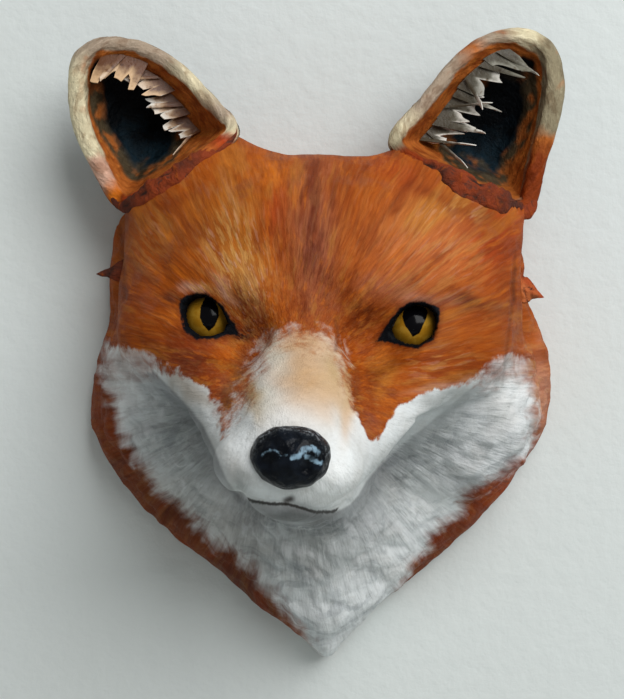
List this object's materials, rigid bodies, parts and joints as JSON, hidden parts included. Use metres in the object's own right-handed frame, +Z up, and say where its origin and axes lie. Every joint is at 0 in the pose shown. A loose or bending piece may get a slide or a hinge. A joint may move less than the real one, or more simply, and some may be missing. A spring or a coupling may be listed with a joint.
{
  "type": "fox head wall sculpture",
  "caption": "Life-size papier-mache fox head and neck ruff with cupped ears, glass eyes and a glossy nose, made to hang flat against a wall.",
  "frame": {"origin": "on the flat back, where it lies against the wall, halfway up the whole sculpture", "axes": "+Z up along the height, +Y into the wall, so the fox looks along -Y; +X to the viewer's right"},
  "size_m": [0.2191, 0.174, 0.281],
  "materials": {
    "orange_paint": "hand-painted paper in orange, ochre and white, satin",
    "black_varnish": "black paint under thick gloss varnish",
    "ear_paint": "painted paper shell, cream and brown rim, dark inside",
    "torn_paper": "torn paper strips, washed with cream and brown",
    "amber_glass": "glossy amber glass eye with a black upright pupil"
  },
  "bodies": {
    "root": {"head": "orange_paint", "nose": "black_varnish", "ear_left": "ear_paint", "ear_right": "ear_paint", "ear_fringe_left": "torn_paper", "ear_fringe_right": "torn_paper", "eye_left": "amber_glass", "eye_right": "amber_glass"}
  },
  "joints": []
}
